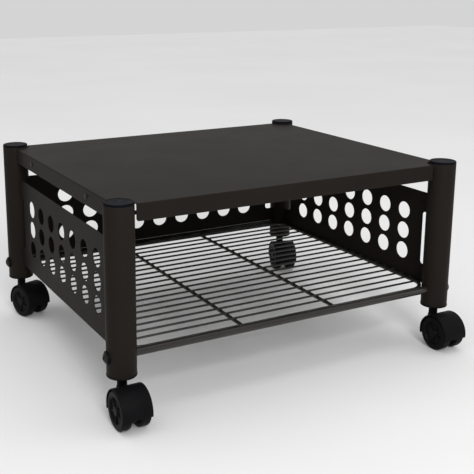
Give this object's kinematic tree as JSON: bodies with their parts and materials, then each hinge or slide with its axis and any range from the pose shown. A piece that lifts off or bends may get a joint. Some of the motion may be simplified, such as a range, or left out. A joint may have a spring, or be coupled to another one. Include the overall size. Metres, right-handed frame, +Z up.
{
  "type": "rolling printer stand",
  "caption": "Low rolling stand with a flat folded-steel top, perforated side and rear panels, a wire lower shelf and swivelling twin-wheel casters.",
  "frame": {"origin": "on the floor, under the middle of the footprint with all casters at rest", "axes": "+X to the right, +Y from the open front to the rear panel, +Z up"},
  "size_m": [0.557, 0.4848, 0.28],
  "materials": {
    "satin_black_steel": "satin black powder coat",
    "blue_black_plastic": "moulded, fine texture",
    "black_nylon": "moulded, matt",
    "black_wheel_plastic": "smooth tread, matt sides",
    "dark_steel": "black-finished fastener",
    "zinc_steel": "zinc plated"
  },
  "bodies": {
    "frame": {"post_front_left": "satin_black_steel", "post_cap_front_left": "blue_black_plastic", "caster_socket_front_left": "black_nylon", "post_front_right": "satin_black_steel", "post_cap_front_right": "blue_black_plastic", "caster_socket_front_right": "black_nylon", "post_rear_left": "satin_black_steel", "post_cap_rear_left": "blue_black_plastic", "caster_socket_rear_left": "black_nylon", "post_rear_right": "satin_black_steel", "post_cap_rear_right": "blue_black_plastic", "caster_socket_rear_right": "black_nylon", "top_shelf": "satin_black_steel", "shelf_stiffeners": "satin_black_steel", "upper_side_rail_left": "satin_black_steel", "side_panel_left": "satin_black_steel", "upper_side_rail_right": "satin_black_steel", "side_panel_right": "satin_black_steel", "shelf_screws": "dark_steel", "rear_panel": "satin_black_steel", "lower_front_rail": "satin_black_steel", "lower_rear_rail": "satin_black_steel", "rail_inserts": "zinc_steel", "rail_bolts": "dark_steel", "bolt_saddles": "black_nylon", "wire_shelf": "satin_black_steel"},
    "caster_front_left": {"caster_stem_front_left": "zinc_steel", "caster_hood_front_left": "black_nylon", "caster_axle_front_left": "zinc_steel"},
    "wheel_a_front_left": {"caster_wheel_a_front_left": "black_wheel_plastic"},
    "wheel_b_front_left": {"caster_wheel_b_front_left": "black_wheel_plastic"},
    "caster_front_right": {"caster_stem_front_right": "zinc_steel", "caster_hood_front_right": "black_nylon", "caster_axle_front_right": "zinc_steel"},
    "wheel_a_front_right": {"caster_wheel_a_front_right": "black_wheel_plastic"},
    "wheel_b_front_right": {"caster_wheel_b_front_right": "black_wheel_plastic"},
    "caster_rear_left": {"caster_stem_rear_left": "zinc_steel", "caster_hood_rear_left": "black_nylon", "caster_axle_rear_left": "zinc_steel"},
    "wheel_a_rear_left": {"caster_wheel_a_rear_left": "black_wheel_plastic"},
    "wheel_b_rear_left": {"caster_wheel_b_rear_left": "black_wheel_plastic"},
    "caster_rear_right": {"caster_stem_rear_right": "zinc_steel", "caster_hood_rear_right": "black_nylon", "caster_axle_rear_right": "zinc_steel"},
    "wheel_a_rear_right": {"caster_wheel_a_rear_right": "black_wheel_plastic"},
    "wheel_b_rear_right": {"caster_wheel_b_rear_right": "black_wheel_plastic"}
  },
  "joints": [
    {"name": "caster_front_left_swivel", "type": "hinge", "parent": "frame", "child": "caster_front_left", "pos_m": [-0.254, -0.19282, 0.06], "axis": [0, 0, 1], "continuous": true},
    {"name": "wheel_a_front_left_spin", "type": "hinge", "parent": "caster_front_left", "child": "wheel_a_front_left", "pos_m": [-0.254, -0.21482, 0.025], "axis": [1, 0, 0], "continuous": true},
    {"name": "wheel_b_front_left_spin", "type": "hinge", "parent": "caster_front_left", "child": "wheel_b_front_left", "pos_m": [-0.254, -0.21482, 0.025], "axis": [1, 0, 0], "continuous": true},
    {"name": "caster_front_right_swivel", "type": "hinge", "parent": "frame", "child": "caster_front_right", "pos_m": [0.254, -0.19282, 0.06], "axis": [0, 0, 1], "continuous": true},
    {"name": "wheel_a_front_right_spin", "type": "hinge", "parent": "caster_front_right", "child": "wheel_a_front_right", "pos_m": [0.254, -0.21482, 0.025], "axis": [1, 0, 0], "continuous": true},
    {"name": "wheel_b_front_right_spin", "type": "hinge", "parent": "caster_front_right", "child": "wheel_b_front_right", "pos_m": [0.254, -0.21482, 0.025], "axis": [1, 0, 0], "continuous": true},
    {"name": "caster_rear_left_swivel", "type": "hinge", "parent": "frame", "child": "caster_rear_left", "pos_m": [-0.254, 0.22318, 0.06], "axis": [0, 0, 1], "continuous": true},
    {"name": "wheel_a_rear_left_spin", "type": "hinge", "parent": "caster_rear_left", "child": "wheel_a_rear_left", "pos_m": [-0.2472, 0.20225, 0.025], "axis": [0.9511, 0.309, 0], "continuous": true},
    {"name": "wheel_b_rear_left_spin", "type": "hinge", "parent": "caster_rear_left", "child": "wheel_b_rear_left", "pos_m": [-0.2472, 0.20225, 0.025], "axis": [0.9511, 0.309, 0], "continuous": true},
    {"name": "caster_rear_right_swivel", "type": "hinge", "parent": "frame", "child": "caster_rear_right", "pos_m": [0.254, 0.22318, 0.06], "axis": [0, 0, 1], "continuous": true},
    {"name": "wheel_a_rear_right_spin", "type": "hinge", "parent": "caster_rear_right", "child": "wheel_a_rear_right", "pos_m": [0.2472, 0.20225, 0.025], "axis": [0.9511, -0.309, 0], "continuous": true},
    {"name": "wheel_b_rear_right_spin", "type": "hinge", "parent": "caster_rear_right", "child": "wheel_b_rear_right", "pos_m": [0.2472, 0.20225, 0.025], "axis": [0.9511, -0.309, 0], "continuous": true}
  ]
}
